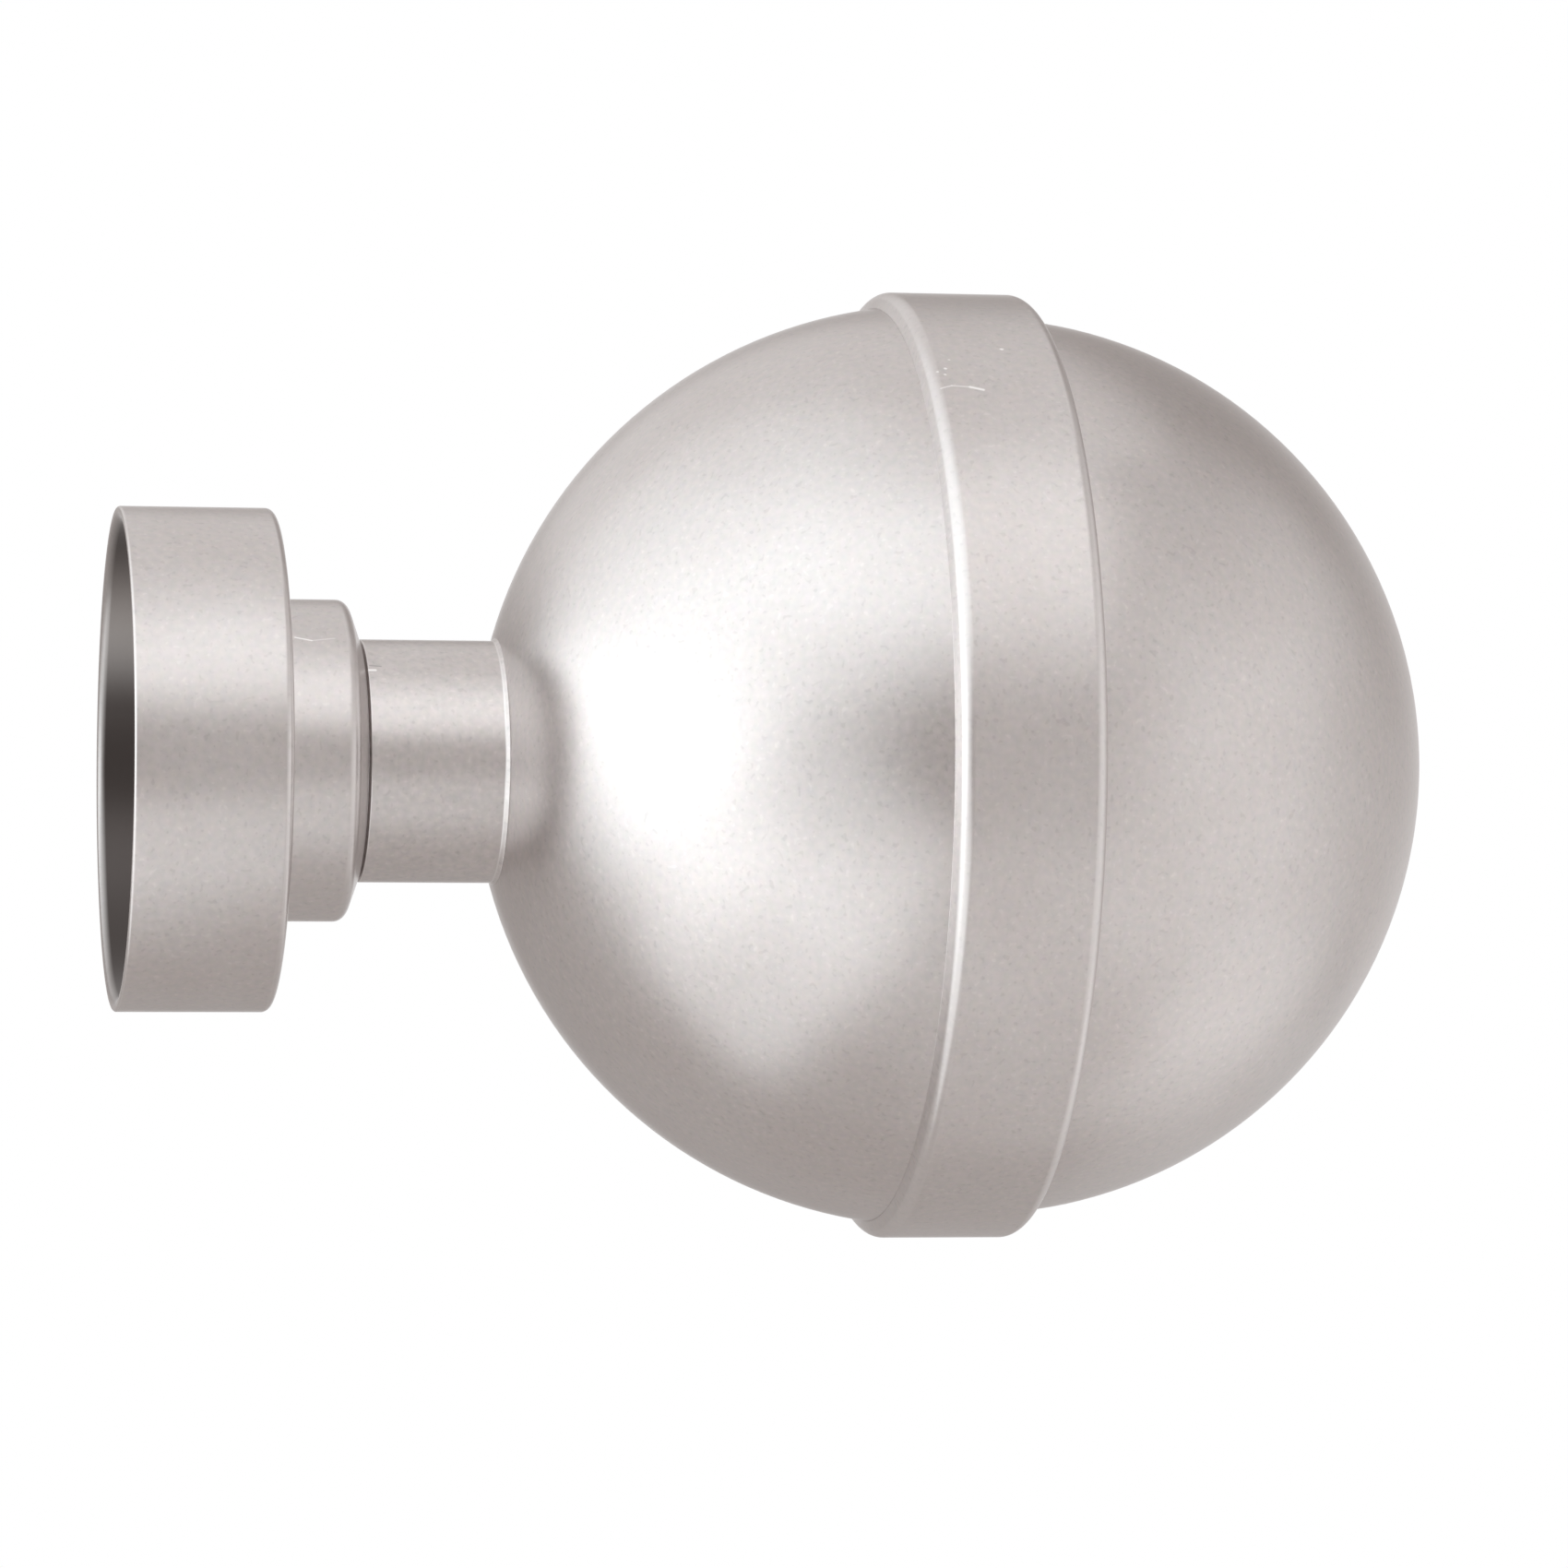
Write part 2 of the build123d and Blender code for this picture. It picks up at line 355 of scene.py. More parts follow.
class Sheet:
    """A node tree with short calls for the nodes that the finishes and the studio need."""

    def __init__(self, material: bpy.types.Material) -> None:
        """Starts from an empty tree in a material.

        Args:
            material: The material, which is set to use its nodes.
        """
        material.use_nodes = True
        material.node_tree.nodes.clear()
        self.tree = material.node_tree

    def add(self, kind: str, **settings: object) -> bpy.types.Node:
        """Adds a node.

        Args:
            kind: Type of the node.
            settings: Properties to set on it.

        Returns:
            The node.
        """
        node = self.tree.nodes.new(kind)
        for key, value in settings.items():
            setattr(node, key, value)
        return node

    def feed(self, socket: bpy.types.NodeSocket, value: object) -> None:
        """Links an output to a socket, or sets a plain value on it.

        Args:
            socket: Input of a node.
            value: Output of another node, or the plain value.
        """
        if isinstance(value, bpy.types.NodeSocket):
            self.tree.links.new(value, socket)
        else:
            socket.default_value = value

    def made(
        self, kind: str, *values: object, shown: int | str = 0, **settings: object
    ) -> bpy.types.NodeSocket:
        """Adds a node and feeds its first inputs.

        Args:
            kind: Type of the node.
            values: What goes into its inputs, in order.
            shown: Index or name of the output that is wanted.
            settings: Properties to set on it.

        Returns:
            The output.
        """
        node = self.add(kind, **settings)
        for socket, value in zip(node.inputs, values):
            self.feed(socket, value)
        return node.outputs[shown]

    def math(self, operation: str, first: object, second: object = 0.0) -> bpy.types.NodeSocket:
        """Result of a math operation on two numbers."""
        return self.made("ShaderNodeMath", first, second, operation=operation)

    def vector(self, operation: str, first: object, second: object) -> bpy.types.NodeSocket:
        """Vector result of an operation on two vectors."""
        return self.made("ShaderNodeVectorMath", first, second, operation=operation)

    def dot(self, first: object, second: object) -> bpy.types.NodeSocket:
        """Dot product of two vectors."""
        kind = "ShaderNodeVectorMath"
        return self.made(kind, first, second, shown="Value", operation="DOT_PRODUCT")

    def scaled(self, vector: object, factor: object) -> bpy.types.NodeSocket:
        """Vector times a number.

        Args:
            vector: The vector, or a colour.
            factor: The number.

        Returns:
            The product.
        """
        node = self.add("ShaderNodeVectorMath", operation="SCALE")
        self.feed(node.inputs[0], vector)
        self.feed(node.inputs["Scale"], factor)
        return node.outputs[0]

    def ramp(self, value: object, start: float, end: float) -> bpy.types.NodeSocket:
        """Smooth step from 0 at start to 1 at end, with the slope 3t^2 - 2t^3 between them.

        Args:
            value: The value to place between start and end.
            start: Where the step begins.
            end: Where it is done.

        Returns:
            The step's height.
        """
        node = self.add("ShaderNodeMapRange", interpolation_type="SMOOTHSTEP")
        self.feed(node.inputs["Value"], value)
        node.inputs["From Min"].default_value = start
        node.inputs["From Max"].default_value = end
        return node.outputs["Result"]

    def spread(self, value: object, low: float, high: float) -> bpy.types.NodeSocket:
        """Value from 0 to 1 laid over a span.

        Args:
            value: The value.
            low: Result at 0.
            high: Result at 1.

        Returns:
            The result.
        """
        node = self.add("ShaderNodeMapRange")
        self.feed(node.inputs["Value"], value)
        node.inputs["To Min"].default_value = low
        node.inputs["To Max"].default_value = high
        return node.outputs["Result"]

    def noise(
        self, vector: object, cell_mm: float, detail: float = 2.0, shown: str = "Fac"
    ) -> bpy.types.NodeSocket:
        """Noise in patches.

        Args:
            vector: Place to look it up at.
            cell_mm: Width of a patch, about.
            detail: Number of finer layers on it.
            shown: Output that is wanted, its factor or its colour.

        Returns:
            The output.
        """
        node = self.add("ShaderNodeTexNoise")
        self.feed(node.inputs["Vector"], vector)
        node.inputs["Scale"].default_value = 1.0 / (cell_mm * MM)
        node.inputs["Detail"].default_value = detail
        return node.outputs[shown]

    def mix(self, factor: object, first: object, second: object) -> bpy.types.NodeSocket:
        """Colour mixed of two.

        Args:
            factor: Share of the second.
            first: The first colour.
            second: The second colour.

        Returns:
            The mixed colour.
        """
        node = self.add("ShaderNodeMix", data_type="RGBA")
        for socket, value in zip(MIX_INPUTS, (factor, first, second)):
            self.feed(node.inputs[socket], value)
        return node.outputs[MIX_RESULT]

    def attribute(self, name: str, shown: str = "Fac") -> bpy.types.NodeSocket:
        """Attribute of the mesh, as a number or a colour."""
        return self.made("ShaderNodeAttribute", shown=shown, attribute_name=name)

    def surface(self, shader: bpy.types.NodeSocket) -> None:
        """Ends the tree with a shader as the material's surface."""
        self.feed(self.add("ShaderNodeOutputMaterial").inputs["Surface"], shader)

    def metal(self, colour: object, rough: object, grain: object, depth_mm: float) -> None:
        """Ends the tree with a metal whose grain stands out in relief.

        Args:
            colour: Colour of the metal.
            rough: Its roughness.
            grain: Height of the grain, from 0 to 1.
            depth_mm: Height that 1 stands for.
        """
        bump = self.add("ShaderNodeBump")
        self.feed(bump.inputs["Height"], grain)
        bump.inputs["Distance"].default_value = depth_mm * MM
        shader = self.add("ShaderNodeBsdfPrincipled")
        shader.inputs["Metallic"].default_value = 1.0
        self.feed(shader.inputs["Base Color"], colour)
        self.feed(shader.inputs["Roughness"], rough)
        self.feed(shader.inputs["Normal"], bump.outputs["Normal"])
        self.surface(shader.outputs["BSDF"])


@dataclass(frozen=True)
class Mark:
    """Straight stretch of a scratch, or a speck, on a surface, in metres."""

    start: Vector
    end: Vector
    half_width: float
    strength: float
    tone: float
    core: float = 0.2

    def shown(self, sheet: Sheet, place: bpy.types.NodeSocket) -> bpy.types.NodeSocket:
        """How strongly the mark shows at a place.

        The distance to the nearest point between the mark's two ends is taken, and the mark
        fades smoothly from its core, a share of the half width, to the half width.

        Args:
            sheet: Node tree to work in.
            place: Object coordinates.

        Returns:
            The mark's strength there, from 0 to 1.
        """
        line = self.end - self.start
        away = sheet.vector("SUBTRACT", place, tuple(self.start))
        share = sheet.dot(away, tuple(line / max(line.length_squared, TINY**2)))
        held = sheet.math("MINIMUM", sheet.math("MAXIMUM", share, 0.0), 1.0)
        nearest = sheet.scaled(tuple(line), held)
        gap = sheet.made("ShaderNodeVectorMath", away, nearest, shown="Value", operation="DISTANCE")
        near = sheet.ramp(gap, self.half_width, self.half_width * self.core)
        return sheet.math("MULTIPLY", near, self.strength)


@dataclass(frozen=True)
class SatinNickel:
    """Satin nickel plate: warm grey metal with a fine matt grain, and edges made brighter partly by
    wear and partly by painted highlight.

    The spans are values of the noise between which a pattern fades in, and the shades are
    what the metal's colour is multiplied by where it has faded in.
    """

    tone: Triple = (0.614, 0.580, 0.569)
    deep_tone: Triple = (0.600, 0.562, 0.550)
    wear_and_highlight_tone: Triple = (0.70, 0.672, 0.662)
    mark_warmth: Triple = (1.0, 0.98, 0.97)
    # The bore's colours are painted shade and a belt of painted reflection, not the plate's own colour
    bore_painted_shade: Triple = (0.075, 0.065, 0.062)
    bore_painted_sheen: Triple = (0.34, 0.32, 0.31)
    sheen_height_mm: float = 8.2
    sheen_reach_mm: float = 5.5
    wear_and_highlight: float = 0.35
    roughness: float = 0.30
    roughness_reach: float = 0.03
    grain_mm: float = 0.42
    grain_contrast: float = 0.15
    grain_depth_mm: float = 0.0018
    pit_mm: float = 0.30
    pit_span: tuple[float, float] = (0.66, 0.80)
    pit_shade: float = 0.91
    speck_span: tuple[float, float] = (0.32, 0.18)
    speck_shade: float = 1.07
    fleck_share: float = 0.025
    mottle_mm: float = 7.0
    mottle_span: tuple[float, float] = (0.35, 0.65)

    def build(self, name: str, marks: tuple[Mark, ...] = ()) -> bpy.types.Material:
        """Builds the material.

        Args:
            name: Name of the material.
            marks: Scratches and specks on this piece.

        Returns:
            The material.
        """
        material = bpy.data.materials.new(name)
        sheet = Sheet(material)
        place = sheet.made("ShaderNodeTexCoord", shown="Object")
        grain = sheet.noise(place, self.grain_mm, detail=1.0)
        colour = self.plate(sheet, place, grain)
        # Rounded edges are lightened: partly wear, partly a painted highlight where the edges catch
        # light
        worn_and_highlit = sheet.math("MULTIPLY", sheet.attribute(Zone.EDGE.value), self.wear_and_highlight)
        colour = sheet.mix(worn_and_highlit, colour, (*self.wear_and_highlight_tone, 1))
        for mark in marks:
            tone = (*(mark.tone * part for part in self.mark_warmth), 1)
            colour = sheet.mix(mark.shown(sheet, place), colour, tone)
        # Where the mesh is marked as bore, the colour gives way to the inside's painted shade and
        # painted reflection
        bore = sheet.attribute(Zone.BORE.value)
        colour = sheet.mix(bore, colour, self.inside(sheet, place))
        reach = self.roughness_reach
        rough = sheet.spread(grain, self.roughness - reach, self.roughness + reach)
        sheet.metal(colour, rough, grain, self.grain_depth_mm)
        return material

    def plate(
        self, sheet: Sheet, place: bpy.types.NodeSocket, grain: bpy.types.NodeSocket
    ) -> bpy.types.NodeSocket:
        """Colour of the plate: mottled, grained, with dark pits, pale specks and faint flecks.

        Args:
            sheet: Node tree to work in.
            place: Object coordinates.
            grain: The grain, from 0 to 1.

        Returns:
            The colour.
        """
        mottle = sheet.noise(place, self.mottle_mm, detail=1.0)
        mottle = sheet.ramp(mottle, *self.mottle_span)
        colour = sheet.mix(mottle, (*self.tone, 1), (*self.deep_tone, 1))
        half = self.grain_contrast / 2
        colour = sheet.scaled(colour, sheet.spread(grain, 1 - half, 1 + half))
        speckle = sheet.noise(place, self.pit_mm, detail=0.0)
        for span, shade in ((self.pit_span, self.pit_shade), (self.speck_span, self.speck_shade)):
            colour = sheet.scaled(colour, sheet.spread(sheet.ramp(speckle, *span), 1.0, shade))
        flecks = sheet.noise(place, self.grain_mm, detail=0.0, shown="Color")
        return sheet.mix(self.fleck_share, colour, flecks)

    def inside(self, sheet: Sheet, place: bpy.types.NodeSocket) -> bpy.types.NodeSocket:
        """Colour in the bore: painted shade, with a paler belt of painted reflection above the middle
        of its height.

        Args:
            sheet: Node tree to work in.
            place: Object coordinates.

        Returns:
            The colour.
        """
        height = sheet.dot(place, (0.0, 0.0, 1.0))
        away = sheet.math("ABSOLUTE", sheet.math("SUBTRACT", height, self.sheen_height_mm * MM))
        belt = sheet.ramp(away, self.sheen_reach_mm * MM, 0.0)
        return sheet.mix(belt, (*self.bore_painted_shade, 1), (*self.bore_painted_sheen, 1))


@dataclass(frozen=True)
class ZincPlate:
    """Bright zinc plate on the fasteners: cool grey with faint cloudy patches."""

    tone: Triple = (0.60, 0.62, 0.64)
    cloud_tone: Triple = (0.52, 0.53, 0.53)
    roughness_low: float = 0.23
    roughness_high: float = 0.35
    cloud_mm: float = 1.6
    grain_mm: float = 0.12
    grain_depth_mm: float = 0.001

    def build(self, name: str) -> bpy.types.Material:
        """Builds the material.

        Args:
            name: Name of the material.

        Returns:
            The material.
        """
        material = bpy.data.materials.new(name)
        sheet = Sheet(material)
        place = sheet.made("ShaderNodeTexCoord", shown="Object")
        cloud = sheet.noise(place, self.cloud_mm)
        grain = sheet.noise(place, self.grain_mm)
        colour = sheet.mix(cloud, (*self.tone, 1), (*self.cloud_tone, 1))
        rough = sheet.spread(grain, self.roughness_low, self.roughness_high)
        sheet.metal(colour, rough, grain, self.grain_depth_mm)
        return material


@dataclass(frozen=True)
class PhotoCamera:
    """Camera at the photograph's viewing angle.

    The angles turn it from looking along +Y: yaw to the right about Z, then pitch upwards,
    then roll. The focal length is in pixels of the square frame. Its place and the nearest
    and farthest distances that it draws are in millimetres, as is its sensor's width.
    """

    place: Triple = (-38.70, -400.0, 7.63)
    yaw: float = 0.1747
    pitch: float = -0.0217
    roll: float = 0.0115
    focal: float = 7300.07
    frame: int = 1700
    sensor: float = 36.0
    nearest: float = 10.0
    farthest: float = 20000.0

    def axes(self) -> tuple[Vector, Vector, Vector]:
        """Directions of the camera.

        Returns:
            Right, up and forward, as unit vectors.
        """
        level_right = Vector((math.cos(self.yaw), -math.sin(self.yaw), 0))
        level_ahead = Vector((math.sin(self.yaw), math.cos(self.yaw), 0))
        ahead = level_ahead * math.cos(self.pitch) + Vector((0, 0, math.sin(self.pitch)))
        above = -level_ahead * math.sin(self.pitch) + Vector((0, 0, math.cos(self.pitch)))
        right = level_right * math.cos(self.roll) + above * math.sin(self.roll)
        up = above * math.cos(self.roll) - level_right * math.sin(self.roll)
        return right, up, ahead

    def ray(self, pixel: tuple[float, float]) -> Vector:
        """Direction through a pixel of the photograph's frame.

        Args:
            pixel: The pixel, counted from the top left corner.

        Returns:
            The unit direction.
        """
        right, up, ahead = self.axes()
        half = self.frame / 2
        across = (pixel[0] - half) / self.focal
        down = (pixel[1] - half) / self.focal
        return (ahead + right * across - up * down).normalized()

    def on_cylinder(self, pixel: tuple[float, float], radius: float) -> Vector:
        """Point in metres where a pixel's ray meets a cylinder about the X axis.

        It is the smaller root of the quadratic equation that sets the distance from the axis
        along the ray to the cylinder's radius.

        Args:
            pixel: Pixel in the photograph's frame.
            radius: Radius of the cylinder in millimetres.

        Returns:
            The nearer of the two points.
        """
        ray = self.ray(pixel)
        start = Vector(self.place)
        square = ray.y**2 + ray.z**2
        half_slope = start.y * ray.y + start.z * ray.z
        rest = start.y**2 + start.z**2 - radius**2
        reach = (-half_slope - math.sqrt(half_slope**2 - square * rest)) / square
        return (start + ray * reach) * MM

    def pixel_size(self, point: Vector) -> float:
        """Width in metres that a pixel spans at a point."""
        return (point - Vector(self.place) * MM).length / self.focal

    def build(self) -> None:
        """Makes the camera and hands it to the scene.

        The lens is the focal length as a share of the frame, times the sensor's width.
        """
        data = bpy.data.cameras.new("photo_camera")
        data.sensor_width = self.sensor
        data.lens = self.focal / self.frame * self.sensor
        data.clip_start = self.nearest * MM
        data.clip_end = self.farthest * MM
        camera = bpy.data.objects.new("photo_camera", data)
        right, up, ahead = self.axes()
        turn = Matrix((right, up, -ahead)).transposed().to_4x4()
        camera.matrix_world = Matrix.Translation(Vector(self.place) * MM) @ turn
        bpy.context.scene.collection.objects.link(camera)
        bpy.context.scene.camera = camera


@dataclass(frozen=True)
class Stroke:
    """Scratch or speck as it is seen: the pixels that it runs through and its width in pixels.

    A speck has one pixel. The tone is the lightness of the metal in the mark.
    """

    pixels: tuple[tuple[float, float], ...]
    width: float
    strength: float
    tone: float = 0.95

    def marks(self, camera: PhotoCamera, radius: float) -> tuple[Mark, ...]:
        """Lays the stroke on a round surface.

        Args:
            camera: Camera whose pixels the stroke is given in.
            radius: Radius in millimetres of the surface, about the X axis.

        Returns:
            One mark for each straight stretch.
        """
        points = [camera.on_cylinder(pixel, radius) for pixel in self.pixels]
        half = self.width / 2 * camera.pixel_size(points[0])
        ends = zip(points, points[1:] or points)
        return tuple(Mark(start, end, half, self.strength, self.tone) for start, end in ends)


@dataclass(frozen=True)
class SoftBox:
    """Soft box on the tent's wall, seen from the object.

    Azimuth 0 is towards -Y and grows towards +X. Width and height are tangents of the half
    angles, and the light falls off over the edge's span on both sides of the rim.
    """

    azimuth: float
    elevation: float
    roll: float
    half_width: float
    half_height: float
    edge: float
    strength: float
    tint: Tint = Tint.COOL

    def glow(self, directions: np.ndarray) -> np.ndarray:
        """Light that comes from each direction.

        The direction is laid out on the box's own plane, and the light is the product of a
        smooth window across it and one up and down.

        Args:
            directions: Unit directions from the object, one a row.

        Returns:
            The colours of the light, one a row.
        """
        azimuth, elevation, roll = np.radians([self.azimuth, self.elevation, self.roll])
        level = math.cos(elevation)
        ahead = np.array(
            [level * math.sin(azimuth), -level * math.cos(azimuth), math.sin(elevation)]
        )
        across = np.array([math.cos(azimuth), math.sin(azimuth), 0.0])
        below = np.cross(across, ahead)
        wide = across * math.cos(roll) + below * math.sin(roll)
        tall = below * math.cos(roll) - across * math.sin(roll)
        near = 0.05
        depth = directions @ ahead
        shown = np.where(depth > near, self.strength, 0.0)
        for axis, half in ((wide, self.half_width), (tall, self.half_height)):
            offset = np.abs(directions @ axis) / np.maximum(depth, near)
            shown = shown * smooth_step(offset, half + self.edge, half - self.edge)
        return shown[:, None] * np.array(self.tint.value)


@dataclass(frozen=True)
class Studio:
    """Light tent with soft boxes, a white backdrop behind the object and a pale floor.

    The backdrop is white to the camera and in reflections, and no wider than the picture
    needs. To matt surfaces it gives the tent's own light, as every other part of it does.
    """

    camera: PhotoCamera
    wall: Triple = (0.456, 0.421, 0.405)
    boxes: tuple[SoftBox, ...] = (
        SoftBox(-76, 35, 55, 0.75, 1.37, 0.74, 1.285),
        SoftBox(15, 51, 28, 0.16, 0.53, 0.25, 1.009, Tint.WARM),
        SoftBox(-47, -34, -37, 0.83, 0.42, 0.08, 0.512),
        SoftBox(61, 8, 56, 0.00, 0.99, 2.22, 1.661, Tint.WARM),
        SoftBox(65, -44, 43, 0.57, 0.76, 0.29, 0.159, Tint.WARM),
        SoftBox(-171, 57, -28, 0.44, 1.00, 0.20, 0.462, Tint.WARM),
        SoftBox(125, -26, 51, 0.35, 1.30, 0.44, 0.367, Tint.WARM),
        SoftBox(-73, -7, 59, 0.30, 0.40, 0.50, 1.444),
        SoftBox(-98, 9, 8, 0.52, 0.12, 0.03, 0.448),
        SoftBox(-28, -38, 38, 0.50, 0.08, 0.72, 0.521),
    )
    backdrop_inner: float = 15.0
    backdrop_outer: float = 17.0
    tent_radius: float = 1200.0
    tent_rings: int = 91
    tent_steps: int = 180
    tent_tone: float = 0.0
    floor_height: float = -100.0
    floor_radius: float = 320.0
    floor_rings: int = 41
    floor_steps: int = 128
    floor_glow: float = 0.935
    floor_slope: tuple[float, float] = (-0.47, -0.58)
    pool_glow: float = 0.106
    pool_radius: float = 94.0
    floor_tone: float = 0.10

    @property
    def centre(self) -> np.ndarray:
        """Middle of the object's box, in millimetres."""
        return np.mean(CAD_BOX, axis=0) / MM

    def light(self, directions: np.ndarray) -> np.ndarray:
        """Light of the whole tent from each direction: the wall's and the soft boxes' sum."""
        return sum(box.glow(directions) for box in self.boxes) + np.array(self.wall)

    def backdrop(self, directions: np.ndarray) -> np.ndarray:
        """Share of the white backdrop in each direction, from 0 to 1."""
        facing = directions @ np.array(self.camera.axes()[2])
        return smooth_step(facing, *np.cos(np.radians([self.backdrop_outer, self.backdrop_inner])))

    def build(self) -> None:
        """Makes the tent and the floor, and sets the plain view transform.

        The world is an empty one, because the tent closes it off on all sides.
        """
        scene = bpy.context.scene
        scene.view_settings.view_transform = "Standard"
        scene.world = bpy.data.worlds.new("room")
        self.tent()
        self.floor()

    def tent(self) -> None:
        """Makes the tent: a sphere about the object, swept by a half circle of points.

        A point at angle a from the middle of the half circle lies at the tent's radius times
        (sin a, cos a).
        """
        along = np.linspace(-math.pi / 2, math.pi / 2, self.tent_rings)
        half_circle = self.tent_radius * np.stack([np.sin(along), np.cos(along)], axis=1)
        half_circle[[0, -1], 1] = 0.0
        vertices, faces = revolved(half_circle, self.tent_steps, closed=False)
        glow = np.ones(len(vertices))
        self.lit("light_tent", vertices + self.centre, faces, glow, self.tent_tone)

    def floor(self) -> None:
        """Makes the floor: a flat round sheet, swept by a straight line of points.

        Its glow changes with the place by the slopes along X and Y, as shares per metre, and
        rises under the object by a bell curve of the distance from its middle.
        """
        radii = np.linspace(0.0, self.floor_radius, self.floor_rings)
        line = np.stack([np.zeros(self.floor_rings), radii], axis=1)
        vertices, faces = revolved(line, self.floor_steps, closed=False)
        vertices = vertices[:, [1, 2, 0]] + self.centre * [1, 1, 0] + [0, 0, self.floor_height]
        away = (vertices - self.centre)[:, :2]
        pool = np.exp(-np.sum(away**2, axis=1) / (2 * self.pool_radius**2))
        glow = self.floor_glow * (1 + away * MM @ np.array(self.floor_slope))
        glow = glow * (1 + self.pool_glow * pool)
        self.lit("floor", vertices, faces, glow, self.floor_tone)

    def lit(
        self, name: str, vertices: np.ndarray, faces: list[list[int]], glow: np.ndarray, tone: float
    ) -> None:
        """Makes a surface of the studio that gives the tent's light towards the object.

        Args:
            name: Name of the surface.
            vertices: Its points in millimetres.
            faces: Its faces.
            glow: Share of the tent's light that it gives at each point.
            tone: Lightness of its matt paint, which catches the object's shadow.
        """
        away = vertices - self.centre
        away /= np.linalg.norm(away, axis=1, keepdims=True)
        colours = np.ones((len(vertices), 4))
        colours[:, :3] = self.light(away) * glow[:, None]
        mesh = bpy.data.meshes.new(name)
        mesh.from_pydata((vertices * MM).tolist(), [], faces)
        light = mesh.attributes.new("light", "FLOAT_COLOR", "POINT")
        light.data.foreach_set("color", colours.astype(np.float32).ravel())
        white = mesh.attributes.new("backdrop", "FLOAT", "POINT")
        white.data.foreach_set("value", self.backdrop(away).astype(np.float32))
        mesh.materials.append(self.sheeting(f"{name}_sheet", tone))
        finished_object(name, mesh)

    def sheeting(self, name: str, tone: float) -> bpy.types.Material:
        """Sheet that glows with its mesh's own light, and white where the backdrop is.

        Args:
            name: Name of the material.
            tone: Lightness of its matt paint.

        Returns:
            The material.
        """
        material = bpy.data.materials.new(name)
        material.cycles.emission_sampling = "NONE"
        sheet = Sheet(material)
        rays = sheet.add("ShaderNodeLightPath").outputs
        seen = sheet.math("MAXIMUM", rays["Is Camera Ray"], rays["Is Glossy Ray"])
        seen = sheet.math("MAXIMUM", seen, rays["Is Transmission Ray"])
        behind = sheet.math("MULTIPLY", sheet.attribute("backdrop"), seen)
        colour = sheet.mix(behind, sheet.attribute("light", "Color"), WHITE)
        glowing = sheet.made("ShaderNodeEmission", colour)
        matt = sheet.made("ShaderNodeBsdfDiffuse", (tone, tone, tone, 1))
        sheet.surface(sheet.made("ShaderNodeAddShader", glowing, matt))
        return material


def laid(strokes: tuple[Stroke, ...], camera: PhotoCamera, radius: float) -> tuple[Mark, ...]:
    """Marks of several strokes on a round surface of a radius in millimetres."""
    return tuple(mark for stroke in strokes for mark in stroke.marks(camera, radius))


def dress(piece: bpy.types.Object, node: str, material: bpy.types.Material) -> None:
    """Finishes a piece, sets it on the part's body and lets it stand for its CAD node.

    Args:
        piece: The piece.
        node: CAD node that it replaces.
        material: The material.
    """
    piece.data.materials.append(material)
    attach(piece, "root")
    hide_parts(node)
    LOG.info("%s: %d points, %d faces", piece.name, len(piece.data.vertices), len(piece.data.polygons))


